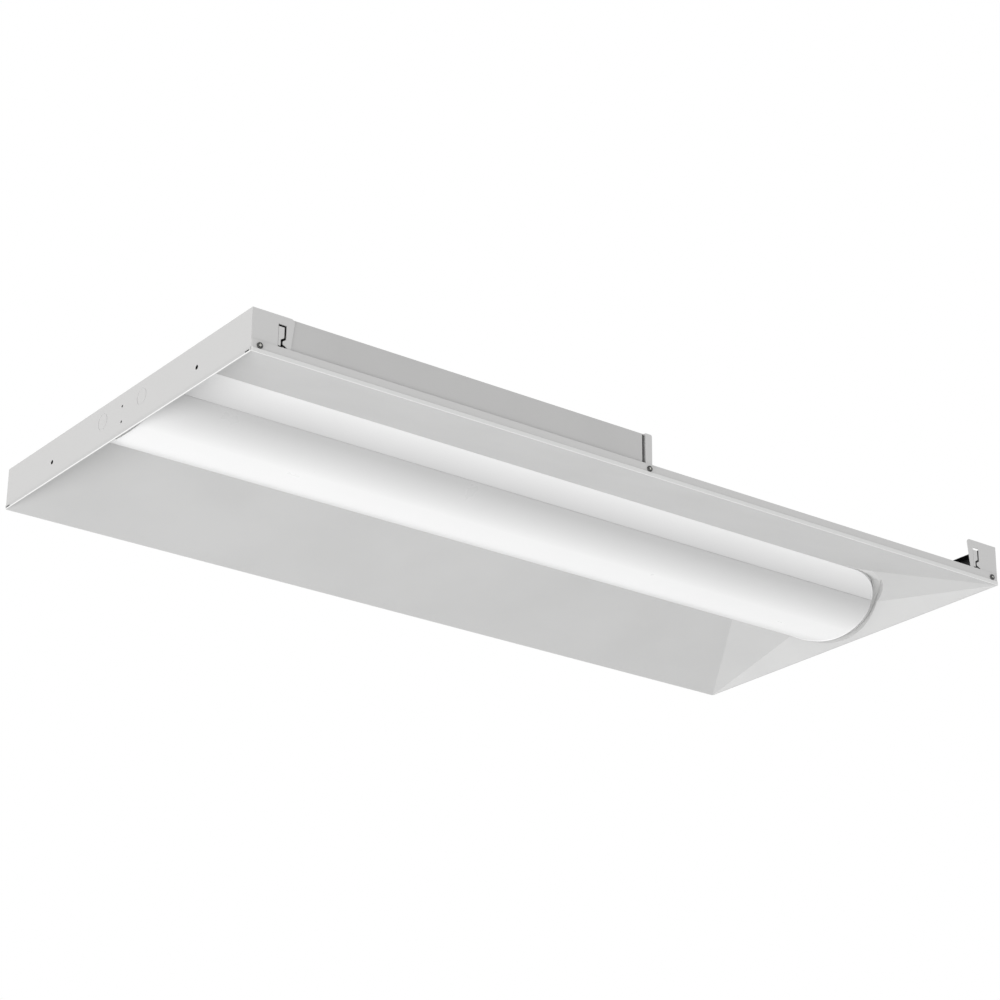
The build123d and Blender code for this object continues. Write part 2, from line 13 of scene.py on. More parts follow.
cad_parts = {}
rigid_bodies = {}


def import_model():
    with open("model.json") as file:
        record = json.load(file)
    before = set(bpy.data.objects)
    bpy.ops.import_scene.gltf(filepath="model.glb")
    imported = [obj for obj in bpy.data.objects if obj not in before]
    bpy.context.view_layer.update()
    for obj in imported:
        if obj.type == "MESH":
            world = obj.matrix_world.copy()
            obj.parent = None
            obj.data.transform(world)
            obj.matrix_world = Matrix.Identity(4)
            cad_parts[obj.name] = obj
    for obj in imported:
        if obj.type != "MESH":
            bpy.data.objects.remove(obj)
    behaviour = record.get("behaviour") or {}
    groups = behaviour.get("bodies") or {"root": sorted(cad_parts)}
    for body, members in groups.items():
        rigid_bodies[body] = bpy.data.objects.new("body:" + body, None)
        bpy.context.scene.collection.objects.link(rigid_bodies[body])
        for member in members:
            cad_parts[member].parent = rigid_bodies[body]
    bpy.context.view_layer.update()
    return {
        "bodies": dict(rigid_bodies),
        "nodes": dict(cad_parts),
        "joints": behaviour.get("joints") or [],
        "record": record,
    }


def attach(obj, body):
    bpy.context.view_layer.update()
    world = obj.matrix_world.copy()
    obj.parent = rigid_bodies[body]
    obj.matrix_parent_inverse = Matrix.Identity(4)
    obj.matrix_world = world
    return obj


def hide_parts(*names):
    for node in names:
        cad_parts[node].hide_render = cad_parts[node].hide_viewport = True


LOG = logging.getLogger("troffer")
MM = 0.001
MERGE_DISTANCE = 0.000005
CAP_FACING = 0.9
QUARTER_TURN = 0.5 * math.pi
SIDES = (-1.0, 1.0)

Point = tuple[float, float, float]
Span = tuple[float, float]
Colour = tuple[float, float, float]
Cut = tuple[Vector, Vector]

ORIGIN: Point = (0.0, 0.0, 0.0)
EVEN: Point = (1.0, 1.0, 1.0)
WHITE: Colour = (1.0, 1.0, 1.0)


class Body(Enum):
    """The rigid body that every modelled piece rides on."""

    TROFFER = "troffer"


class Grain(Enum):
    """How a finish breaks up its surface."""

    POWDER = "powder coat with a fine orange peel"
    FROST = "etched plastic"
    MOULDED = "spark-eroded mould skin"
    ROLLED = "rolled and zinc coated sheet"
    GLOSS = "smooth"


# ---------------------------------------------------------------- finishes
@dataclass(frozen=True)
class Noise:
    """A noise texture's features per metre, its octaves and its scale along each axis."""

    scale: float
    detail: float
    stretch: Point = EVEN


GRAINS: dict[Grain, Noise] = {
    Grain.POWDER: Noise(900.0, 2.0),
    Grain.FROST: Noise(900.0, 5.0),
    Grain.MOULDED: Noise(900.0, 4.0),
    Grain.ROLLED: Noise(900.0, 3.0, stretch=(0.08, 1.0, 1.0)),
    Grain.GLOSS: Noise(900.0, 3.0),
}


@dataclass(frozen=True)
class Finish:
    """One surface finish, built as a node material on Object coordinates."""

    colour: Colour
    roughness: float
    grain: Grain
    metallic: float = 0.0
    specular: float = 0.5
    coat: float = 0.0
    coat_roughness: float = 0.12
    variation: float = 0.02
    patches: Noise = Noise(7.0, 3.0)
    patch_span: Span = (0.35, 0.65)
    speckle: Noise = Noise(1530.0, 2.0)
    speckle_share: float = 0.5
    speckle_base: float = 0.02
    sheen: Noise = Noise(22.0, 4.0)
    sheen_spread: float = 0.06
    bump: float = 0.05
    bump_depth: float = 0.0003
    edge_wear: float = 0.0
    wear: Noise = Noise(160.0, 4.0)
    wear_span: Span = (0.52, 0.62)
    worn_colour: Colour = (0.62, 0.61, 0.59)

    def build(self, name: str) -> bpy.types.Material:
        """Builds the node material.

        Args:
            name: The material's name.

        Returns:
            The new material.
        """
        material = bpy.data.materials.new(name)
        material.use_nodes = True
        tree = material.node_tree
        tree.nodes.clear()
        output = tree.nodes.new("ShaderNodeOutputMaterial")
        shader = tree.nodes.new("ShaderNodeBsdfPrincipled")
        tree.links.new(shader.outputs["BSDF"], output.inputs["Surface"])
        shader.inputs["Metallic"].default_value = self.metallic
        shader.inputs["Specular IOR Level"].default_value = self.specular
        shader.inputs["Coat Weight"].default_value = self.coat
        shader.inputs["Coat Roughness"].default_value = self.coat_roughness
        coordinates = tree.nodes.new("ShaderNodeTexCoord")
        self._colour(tree, shader, coordinates)
        self._roughness(tree, shader, coordinates)
        self._bump(tree, shader, coordinates)
        return material

    def _noise(
        self, tree: bpy.types.NodeTree, coordinates: bpy.types.Node, noise: Noise
    ) -> bpy.types.Node:
        """Adds a noise texture on Object coordinates.

        Args:
            tree: The node tree.
            coordinates: The texture coordinate node.
            noise: The texture's sizes.

        Returns:
            The texture node.
        """
        mapping = tree.nodes.new("ShaderNodeMapping")
        mapping.inputs["Scale"].default_value = noise.stretch
        texture = tree.nodes.new("ShaderNodeTexNoise")
        texture.inputs["Scale"].default_value = noise.scale
        texture.inputs["Detail"].default_value = noise.detail
        tree.links.new(coordinates.outputs["Object"], mapping.inputs["Vector"])
        tree.links.new(mapping.outputs["Vector"], texture.inputs["Vector"])
        return texture

    def _colour(
        self, tree: bpy.types.NodeTree, shader: bpy.types.Node, coordinates: bpy.types.Node
    ) -> None:
        """Adds broad colour variation, fine speckle, worn edges and the finish's zones of
        painted light and shade.

        Args:
            tree: The node tree.
            shader: The surface shader.
            coordinates: The texture coordinate node.
        """
        patches = self._noise(tree, coordinates, self.patches)
        ramp = tree.nodes.new("ShaderNodeValToRGB")
        low = tuple(c * (1.0 - self.variation) for c in self.colour)
        high = tuple(min(1.0, c * (1.0 + self.variation)) for c in self.colour)
        stops = zip(ramp.color_ramp.elements, self.patch_span, (low, high))
        for stop, position, tone in stops:
            stop.position = position
            stop.color = (*tone, 1.0)
        tree.links.new(patches.outputs["Fac"], ramp.inputs["Fac"])
        speckle = self._noise(tree, coordinates, self.speckle)
        strength = self.speckle_share * self.variation + self.speckle_base
        last = self._multiply(tree, strength, ramp.outputs["Color"], speckle.outputs["Color"])
        if self.edge_wear:
            last = self._worn_edges(tree, coordinates, last)
        last = self._light_and_shade_zones(tree, coordinates, last)
        tree.links.new(last, shader.inputs["Base Color"])

    def _worn_edges(
        self,
        tree: bpy.types.NodeTree,
        coordinates: bpy.types.Node,
        colour: bpy.types.NodeSocket,
    ) -> bpy.types.NodeSocket:
        """Wears the sharp edges down to bare metal in patches.

        Args:
            tree: The node tree.
            coordinates: The texture coordinate node.
            colour: The colour so far.

        Returns:
            The colour's socket.
        """
        geometry = tree.nodes.new("ShaderNodeNewGeometry")
        edge = tree.nodes.new("ShaderNodeMapRange")
        edge.inputs["From Min"].default_value = self.wear_span[0]
        edge.inputs["From Max"].default_value = self.wear_span[1]
        edge.inputs["To Max"].default_value = self.edge_wear
        tree.links.new(geometry.outputs["Pointiness"], edge.inputs["Value"])
        patch = self._noise(tree, coordinates, self.wear)
        gate = self._math(tree, "MULTIPLY", edge.outputs["Result"], patch.outputs["Fac"])
        return self._blend(tree, gate, colour, self.worn_colour)

    def _light_and_shade_zones(
        self,
        tree: bpy.types.NodeTree,
        coordinates: bpy.types.Node,
        colour: bpy.types.NodeSocket,
    ) -> bpy.types.NodeSocket:
        """Paints light and shade into the finish's own zones; a plain finish has none.

        Args:
            tree: The node tree.
            coordinates: The texture coordinate node.
            colour: The colour so far.

        Returns:
            The colour's socket.
        """
        return colour

    def _math(
        self,
        tree: bpy.types.NodeTree,
        operation: str,
        first: bpy.types.NodeSocket,
        second: bpy.types.NodeSocket | float = 0.0,
    ) -> bpy.types.NodeSocket:
        """Adds one arithmetic step.

        Args:
            tree: The node tree.
            operation: The Math node's operation.
            first: The first input.
            second: The second input, a socket or a number.

        Returns:
            The result's socket.
        """
        node = tree.nodes.new("ShaderNodeMath")
        node.operation = operation
        tree.links.new(first, node.inputs[0])
        if isinstance(second, float):
            node.inputs[1].default_value = second
        else:
            tree.links.new(second, node.inputs[1])
        return node.outputs["Value"]

    def _blend(
        self,
        tree: bpy.types.NodeTree,
        factor: bpy.types.NodeSocket,
        colour: bpy.types.NodeSocket,
        other: Colour,
    ) -> bpy.types.NodeSocket:
        """Mixes a fixed colour over a colour socket.

        Args:
            tree: The node tree.
            factor: How much of the fixed colour.
            colour: The colour below.
            other: The fixed colour.

        Returns:
            The mixed colour's socket.
        """
        mix = tree.nodes.new("ShaderNodeMix")
        mix.data_type = "RGBA"
        mix.inputs["B"].default_value = (*other, 1.0)
        tree.links.new(factor, mix.inputs["Factor"])
        tree.links.new(colour, mix.inputs["A"])
        return mix.outputs["Result"]

    def _multiply(
        self,
        tree: bpy.types.NodeTree,
        strength: float,
        colour: bpy.types.NodeSocket,
        other: bpy.types.NodeSocket,
    ) -> bpy.types.NodeSocket:
        """Multiplies one colour socket by another.

        Args:
            tree: The node tree.
            strength: How much of the second colour counts.
            colour: The first colour.
            other: The second colour.

        Returns:
            The product's socket.
        """
        mix = tree.nodes.new("ShaderNodeMix")
        mix.data_type = "RGBA"
        mix.blend_type = "MULTIPLY"
        mix.inputs["Factor"].default_value = strength
        tree.links.new(colour, mix.inputs["A"])
        tree.links.new(other, mix.inputs["B"])
        return mix.outputs["Result"]

    def _roughness(
        self, tree: bpy.types.NodeTree, shader: bpy.types.Node, coordinates: bpy.types.Node
    ) -> None:
        """Varies the sheen from place to place.

        Args:
            tree: The node tree.
            shader: The surface shader.
            coordinates: The texture coordinate node.
        """
        sheen = self._noise(tree, coordinates, self.sheen)
        spread = tree.nodes.new("ShaderNodeMapRange")
        spread.inputs["To Min"].default_value = self.roughness - self.sheen_spread
        spread.inputs["To Max"].default_value = self.roughness + self.sheen_spread
        tree.links.new(sheen.outputs["Fac"], spread.inputs["Value"])
        tree.links.new(spread.outputs["Result"], shader.inputs["Roughness"])

    def _bump(
        self, tree: bpy.types.NodeTree, shader: bpy.types.Node, coordinates: bpy.types.Node
    ) -> None:
        """Adds the surface's fine relief.

        Args:
            tree: The node tree.
            shader: The surface shader.
            coordinates: The texture coordinate node.
        """
        relief = self._noise(tree, coordinates, GRAINS[self.grain])
        bump = tree.nodes.new("ShaderNodeBump")
        bump.inputs["Strength"].default_value = self.bump
        bump.inputs["Distance"].default_value = self.bump_depth
        tree.links.new(relief.outputs["Fac"], bump.inputs["Height"])
        tree.links.new(bump.outputs["Normal"], shader.inputs["Normal"])


@dataclass(frozen=True)
class SheetFinish(Finish):
    """Paint on the sheet metal, with painted light and shade in zones of its own: lighter
    rails, side hems and hem edges, darker end faces and end hems, and, if asked, near-black
    painted shade for an uncut hem notch and on the end plates' inner faces.
    """

    hem_top: float = 0.00545
    hem_inner_x: float = 0.60565
    hem_inner_y: float = 0.30065
    # painted highlight: the side hems' bottom band is painted lighter
    side_hem_highlight: Colour = (0.80, 0.80, 0.795)
    # painted shade: the end faces and the end hems are painted darker
    end_face_shade: Colour = (0.53, 0.527, 0.523)
    end_hem_shade: Colour = (0.50, 0.50, 0.495)
    rail_inner_y: float = 0.2997
    # painted light: the outer side faces of the rails and flanges are painted lighter
    rail_painted_light: Colour = (0.67, 0.667, 0.663)
    # painted highlight: a thin band along the end hems' bottom edge is painted lighter
    edge_highlight_top: float = 0.0009
    edge_highlight_colour: Colour = (0.80, 0.80, 0.795)
    # painted shade: a dark mark stands for a notch in the end hems, which is not cut; the same
    # dark colour below is also painted shade on the end plates' inner faces
    notch_shade_reach: Span = (0.2885, 0.2975)
    notch_shade_height: Span = (0.0012, 0.0030)
    dark: Colour = (0.012, 0.012, 0.013)
    # painted shade: the end plates' inner faces, seen above the rails, are painted near black
    inside_reach_x: Span = (0.5940, 0.60525)
    inside_reach_y: float = 0.2992
    inside_facing: float = 0.5
    painted_notch_and_inside_shade: bool = False

    def _between(
        self,
        tree: bpy.types.NodeTree,
        value: bpy.types.NodeSocket,
        span: Span,
    ) -> bpy.types.NodeSocket:
        """Adds a factor of 1 where a value lies within a span.

        Args:
            tree: The node tree.
            value: The value's socket.
            span: The low and high ends.

        Returns:
            The factor's socket.
        """
        above = self._math(tree, "GREATER_THAN", value, span[0])
        below = self._math(tree, "LESS_THAN", value, span[1])
        return self._all(tree, above, below)

    def _all(
        self, tree: bpy.types.NodeTree, *factors: bpy.types.NodeSocket
    ) -> bpy.types.NodeSocket:
        """Adds a factor of 1 where every given factor is 1.

        Args:
            tree: The node tree.
            factors: The factors' sockets.

        Returns:
            The product's socket.
        """
        last = factors[0]
        for factor in factors[1:]:
            last = self._math(tree, "MULTIPLY", last, factor)
        return last

    def _light_and_shade_zones(
        self,
        tree: bpy.types.NodeTree,
        coordinates: bpy.types.Node,
        colour: bpy.types.NodeSocket,
    ) -> bpy.types.NodeSocket:
        """Paints light and shade: lighter rails, side hems and end hem edges, darker end faces
        and end hems, and near-black painted shade for an uncut hem notch and on the plates'
        inner faces.

        Args:
            tree: The node tree.
            coordinates: The texture coordinate node.
            colour: The colour so far.

        Returns:
            The colour's socket.
        """
        place = tree.nodes.new("ShaderNodeSeparateXYZ")
        tree.links.new(coordinates.outputs["Object"], place.inputs["Vector"])
        reach_x = self._math(tree, "ABSOLUTE", place.outputs["X"])
        reach_y = self._math(tree, "ABSOLUTE", place.outputs["Y"])
        height = place.outputs["Z"]
        low = self._math(tree, "LESS_THAN", height, self.hem_top)
        edge = self._math(tree, "LESS_THAN", height, self.edge_highlight_top)
        side = self._math(tree, "GREATER_THAN", reach_y, self.hem_inner_y)
        end = self._math(tree, "GREATER_THAN", reach_x, self.hem_inner_x)
        rail = self._math(tree, "GREATER_THAN", reach_y, self.rail_inner_y)
        # painted light and shade, zone by zone
        painted_zones = (
            (rail, self.rail_painted_light),
            (end, self.end_face_shade),
            (self._all(tree, low, side), self.side_hem_highlight),
            (self._all(tree, low, end), self.end_hem_shade),
            (self._all(tree, edge, end), self.edge_highlight_colour),
        )
        for factor, tint in painted_zones:
            colour = self._blend(tree, factor, colour, tint)
        if not self.painted_notch_and_inside_shade:
            return colour
        # painted shade: the uncut hem notch and the end plates' inner faces are painted near
        # black
        normal = tree.nodes.new("ShaderNodeSeparateXYZ")
        tree.links.new(coordinates.outputs["Normal"], normal.inputs["Vector"])
        notch = self._all(
            tree,
            self._between(tree, reach_y, self.notch_shade_reach),
            self._between(tree, height, self.notch_shade_height),
            end,
        )
        inside = self._all(
            tree,
            self._between(tree, reach_x, self.inside_reach_x),
            self._math(tree, "LESS_THAN", normal.outputs["Z"], self.inside_facing),
            self._math(tree, "LESS_THAN", reach_y, self.inside_reach_y),
            self._math(tree, "GREATER_THAN", height, self.edge_highlight_top),
        )
        for factor in (notch, inside):
            colour = self._blend(tree, factor, colour, self.dark)
        return colour


@dataclass(frozen=True)
class LensFinish(Finish):
    """Frosted acrylic with painted light and shade: a tone for each reach from the front edge
    (-1) to the rear (1), darkest in the valleys and lightest on the crown.
    """

    half_width: float = 0.1295
    # painted light and shade across the lens: darkest in the two valleys, lightest on the
    # crown
    stops: tuple[Span, ...] = (
        (-1.0, 0.88),
        (-0.76, 0.69),
        (-0.695, 0.62),
        (-0.685, 0.54),
        (-0.63, 0.56),
        (-0.42, 0.72),
        (-0.18, 0.91),
        (0.18, 0.94),
        (0.42, 0.93),
        (0.63, 0.84),
        (0.69, 0.70),
        (1.0, 0.84),
    )

    def _light_and_shade_zones(
        self,
        tree: bpy.types.NodeTree,
        coordinates: bpy.types.Node,
        colour: bpy.types.NodeSocket,
    ) -> bpy.types.NodeSocket:
        """Paints light and shade across the acrylic's width.

        Args:
            tree: The node tree.
            coordinates: The texture coordinate node.
            colour: The colour so far.

        Returns:
            The colour's socket.
        """
        place = tree.nodes.new("ShaderNodeSeparateXYZ")
        tree.links.new(coordinates.outputs["Object"], place.inputs["Vector"])
        share = self._math(tree, "DIVIDE", place.outputs["Y"], 2.0 * self.half_width)
        share = self._math(tree, "ADD", share, 0.5)
        ramp = tree.nodes.new("ShaderNodeValToRGB")
        elements = ramp.color_ramp.elements
        ready = len(elements)
        for index, (reach, tone) in enumerate(self.stops):
            position = 0.5 * (reach + 1.0)
            stop = elements[index] if index < ready else elements.new(position)
            stop.position = position
            stop.color = (tone, tone, tone, 1.0)
        tree.links.new(share, ramp.inputs["Fac"])
        return self._multiply(tree, 1.0, colour, ramp.outputs["Color"])


FINISHES: dict[str, Finish] = {
    # Both sheet paints carry zones of painted light and shade; the lens carries a painted
    # light and shade ramp.
    "reflector_paint": SheetFinish((0.585, 0.585, 0.582), 0.55, Grain.POWDER, specular=0.3),
    "body_paint": SheetFinish(
        (0.60, 0.597, 0.593), 0.45, Grain.POWDER, specular=0.35, painted_notch_and_inside_shade=True
    ),
    "lens_acrylic": LensFinish(WHITE, 0.3, Grain.FROST, bump=0.02, variation=0.01, coat=0.15),
    "cap_plastic": Finish((0.74, 0.74, 0.735), 0.5, Grain.MOULDED),
    "board_mask": Finish((0.82, 0.82, 0.8), 0.35, Grain.GLOSS, coat=0.2),
    "led_phosphor": Finish((0.85, 0.7, 0.2), 0.25, Grain.GLOSS, coat=0.5),
    "connector_plastic": Finish((0.8, 0.79, 0.75), 0.4, Grain.MOULDED),
    "driver_steel": Finish(
        (0.62, 0.63, 0.64), 0.38, Grain.ROLLED, metallic=0.85, variation=0.08
    ),
    "terminal_plastic": Finish((0.35, 0.36, 0.38), 0.45, Grain.MOULDED),
    "zinc_screw": Finish((0.66, 0.66, 0.62), 0.3, Grain.ROLLED, metallic=0.9, variation=0.06),
    "black_screw": Finish(
        (0.02, 0.02, 0.021), 0.35, Grain.POWDER, edge_wear=0.3, variation=0.1
    ),
}


# ---------------------------------------------------------------- camera and studio
@dataclass
class Camera:
    """The photograph's viewpoint, below the light and looking up at it."""

    place_mm: Point = (-2083.21, -2779.44, -1384.39)
    right: Point = (0.80158897, -0.59779742, 0.00966238)
    up: Point = (-0.23808777, -0.304345, 0.92232767)
    forward: Point = (0.5484244, 0.74162819, 0.38628786)
    focal_px: float = 2788.965
    picture_px: float = 1000.0
    sensor_mm: float = 36.0
    clip: Span = (0.05, 60.0)

    def build(self) -> None:
        """Adds the camera and makes it the scene's."""
        data = bpy.data.cameras.new("studio_camera")
        data.sensor_width = self.sensor_mm
        data.lens = self.focal_px * self.sensor_mm / self.picture_px
        data.clip_start, data.clip_end = self.clip
        camera = bpy.data.objects.new("studio_camera", data)
        bpy.context.scene.collection.objects.link(camera)
        turn = Matrix((self.right, self.up, tuple(-c for c in self.forward))).transposed()
        camera.matrix_world = Matrix.Translation(Vector(self.place_mm) * MM) @ turn.to_4x4()
        bpy.context.scene.camera = camera


@dataclass
class Lamp:
    """One soft studio lamp, aimed at a point."""

    name: str
    place: Point
    target: Point
    size: float
    power: float

    def build(self) -> None:
        """Adds the area lamp."""
        data = bpy.data.lights.new(self.name, "AREA")
        data.shape = "SQUARE"
        data.size = self.size
        data.energy = self.power
        lamp = bpy.data.objects.new(self.name, data)
        bpy.context.scene.collection.objects.link(lamp)
        aim = (Vector(self.target) - Vector(self.place)).to_track_quat("-Z", "Y")
        lamp.matrix_world = Matrix.Translation(self.place) @ aim.to_matrix().to_4x4()


KEY_LAMP = Lamp("key_lamp", place=(-9.2, -1.6, -5.4), target=ORIGIN, size=5.0, power=640.0)


@dataclass
class Studio:
    """Plain pale floor, white surroundings and soft lamps."""

    floor_z: float = -8.0
    floor_size: float = 80.0
    floor_colour: Colour = (0.9, 0.9, 0.9)
    world_strength: float = 0.745
    lamps: list[Lamp] = field(default_factory=list)

    def build(self) -> None:
        """Builds the floor, the world and the lamps."""
        self._floor()
        self._world()
        for lamp in self.lamps:
            lamp.build()
        bpy.context.scene.view_settings.view_transform = "Standard"

    def _floor(self) -> None:
        """Adds a pale floor far below the light."""
        deselect()
        bpy.ops.mesh.primitive_plane_add(size=self.floor_size, location=(0, 0, self.floor_z))
        floor = bpy.context.active_object
        floor.name = "studio_floor"
        apply_place(floor)
        floor.data.materials.append(self._backdrop_material("studio_floor"))

    def _backdrop_material(self, name: str) -> bpy.types.Material:
        """Makes a matt white that the camera sees as plain white.

        Args:
            name: The material's name.

        Returns:
            The material.
        """
        material = bpy.data.materials.new(name)
        material.use_nodes = True
        tree = material.node_tree
        tree.nodes.clear()
        output = tree.nodes.new("ShaderNodeOutputMaterial")
        matt = tree.nodes.new("ShaderNodeBsdfDiffuse")
        matt.inputs["Color"].default_value = (*self.floor_colour, 1.0)
        white = tree.nodes.new("ShaderNodeEmission")
        mix = tree.nodes.new("ShaderNodeMixShader")
        seen = self._seen_directly(tree)
        tree.links.new(seen, mix.inputs["Fac"])
        tree.links.new(matt.outputs["BSDF"], mix.inputs[1])
        tree.links.new(white.outputs["Emission"], mix.inputs[2])
        tree.links.new(mix.outputs["Shader"], output.inputs["Surface"])
        return material

    def _seen_directly(self, tree: bpy.types.NodeTree) -> bpy.types.NodeSocket:
        """Adds a factor of 1 for camera, glossy and transmission rays.

        Args:
            tree: The node tree.

        Returns:
            The factor's socket.
        """
        path = tree.nodes.new("ShaderNodeLightPath")
        last = path.outputs["Is Camera Ray"]
        for name in ("Is Glossy Ray", "Is Transmission Ray"):
            either = tree.nodes.new("ShaderNodeMath")
            either.operation = "MAXIMUM"
            tree.links.new(last, either.inputs[0])
            tree.links.new(path.outputs[name], either.inputs[1])
            last = either.outputs["Value"]
        return last

    def _world(self) -> None:
        """Lights the scene softly from all sides, and shows plain white behind."""
        world = bpy.data.worlds.new("studio_world")
        bpy.context.scene.world = world
        world.use_nodes = True
        tree = world.node_tree
        tree.nodes.clear()
        output = tree.nodes.new("ShaderNodeOutputWorld")
        light = tree.nodes.new("ShaderNodeBackground")
        light.inputs["Color"].default_value = (*WHITE, 1.0)
        light.inputs["Strength"].default_value = self.world_strength
        white = tree.nodes.new("ShaderNodeBackground")
        white.inputs["Color"].default_value = (*WHITE, 1.0)
        mix = tree.nodes.new("ShaderNodeMixShader")
        tree.links.new(self._seen_directly(tree), mix.inputs["Fac"])
        tree.links.new(light.outputs["Background"], mix.inputs[1])
        tree.links.new(white.outputs["Background"], mix.inputs[2])
        tree.links.new(mix.outputs["Shader"], output.inputs["Surface"])


# ---------------------------------------------------------------- modelling helpers
def deselect() -> None:
    """Leaves edit mode and deselects every object."""
    if bpy.context.mode != "OBJECT":
        bpy.ops.object.mode_set(mode="OBJECT")
    bpy.ops.object.select_all(action="DESELECT")


def select_only(piece: bpy.types.Object) -> None:
    """Selects one object and makes it active.

    Args:
        piece: The object.
    """
    deselect()
    piece.select_set(True)
    bpy.context.view_layer.objects.active = piece


def apply_place(piece: bpy.types.Object) -> None:
    """Puts a piece's place, turn and size into its mesh.

    Args:
        piece: The object.
    """
    select_only(piece)
    bpy.ops.object.transform_apply(location=True, rotation=True, scale=True)


def choose(piece: bpy.types.Object, test: Callable[[bpy.types.MeshPolygon], bool]) -> None:
    """Selects the faces that pass a test, and leaves the piece in edit mode.

    Args:
        piece: The object.
        test: Says whether a face is wanted.
    """
    select_only(piece)
    bpy.ops.object.mode_set(mode="EDIT")
    bpy.ops.mesh.select_mode(type="FACE")
    bpy.ops.mesh.select_all(action="DESELECT")
    bpy.ops.object.mode_set(mode="OBJECT")
    for face in piece.data.polygons:
        face.select = test(face)
    bpy.ops.object.mode_set(mode="EDIT")


def grow(height: float, size: float) -> None:
    """Extrudes the selected cap up by a height and scales it about the upright axis.

    Args:
        height: How far up.
        size: The cap's new size, as a share of the old.
    """
    bpy.ops.mesh.extrude_region_move(TRANSFORM_OT_translate={"value": (0.0, 0.0, height)})
    bpy.ops.transform.resize(value=(size, size, 1.0), center_override=ORIGIN)


def apply_all(piece: bpy.types.Object) -> None:
    """Applies every modifier of a piece.

    Args:
        piece: The object.
    """
    select_only(piece)
    for modifier in list(piece.modifiers):
        bpy.ops.object.modifier_apply(modifier=modifier.name)


def mend(piece: bpy.types.Object, smooth_angle: float = 35.0) -> None:
    """Merges doubles, turns the faces outward and smooths the round ones.

    Args:
        piece: The object.
        smooth_angle: Edges flatter than this many degrees are smoothed.
    """
    select_only(piece)
    bpy.ops.object.mode_set(mode="EDIT")
    bpy.ops.mesh.select_all(action="SELECT")
    bpy.ops.mesh.remove_doubles(threshold=MERGE_DISTANCE)
    bpy.ops.mesh.normals_make_consistent(inside=False)
    bpy.ops.object.mode_set(mode="OBJECT")
    bpy.ops.object.shade_smooth_by_angle(angle=math.radians(smooth_angle))


def finish_piece(
    piece: bpy.types.Object, name: str, material: bpy.types.Material
) -> None:
    """Names and paints a piece of the troffer body, and makes it ride.

    Args:
        piece: The object.
        name: The piece's name.
        material: The material.
    """
    deselect()
    piece.name = name
    piece.data.name = name
    piece.data.materials.clear()
    piece.data.materials.append(material)
    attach(piece, Body.TROFFER.value)
    LOG.info("made %s: %d faces", name, len(piece.data.polygons))


def own_copy(piece: bpy.types.Object) -> bpy.types.Object:
    """Copies a piece with a mesh of its own.

    Args:
        piece: The object.

    Returns:
        The copy.
    """
    copy = piece.copy()
    copy.data = piece.data.copy()
    bpy.context.scene.collection.objects.link(copy)
    return copy


def remove(piece: bpy.types.Object) -> None:
    """Deletes a helper object and its mesh.

    Args:
        piece: The object.
    """
    mesh = piece.data
    bpy.data.objects.remove(piece)
    bpy.data.meshes.remove(mesh)


# ---------------------------------------------------------------- fasteners
@dataclass(frozen=True)
class ScrewSet:
    """Screws that stand for one node: where they are and which way they face."""

    node: str
    slot: str
    scale: float
    turn: Point
    places: tuple[Point, ...]
    flip_rear: bool = False
    bright_recess: bool = False


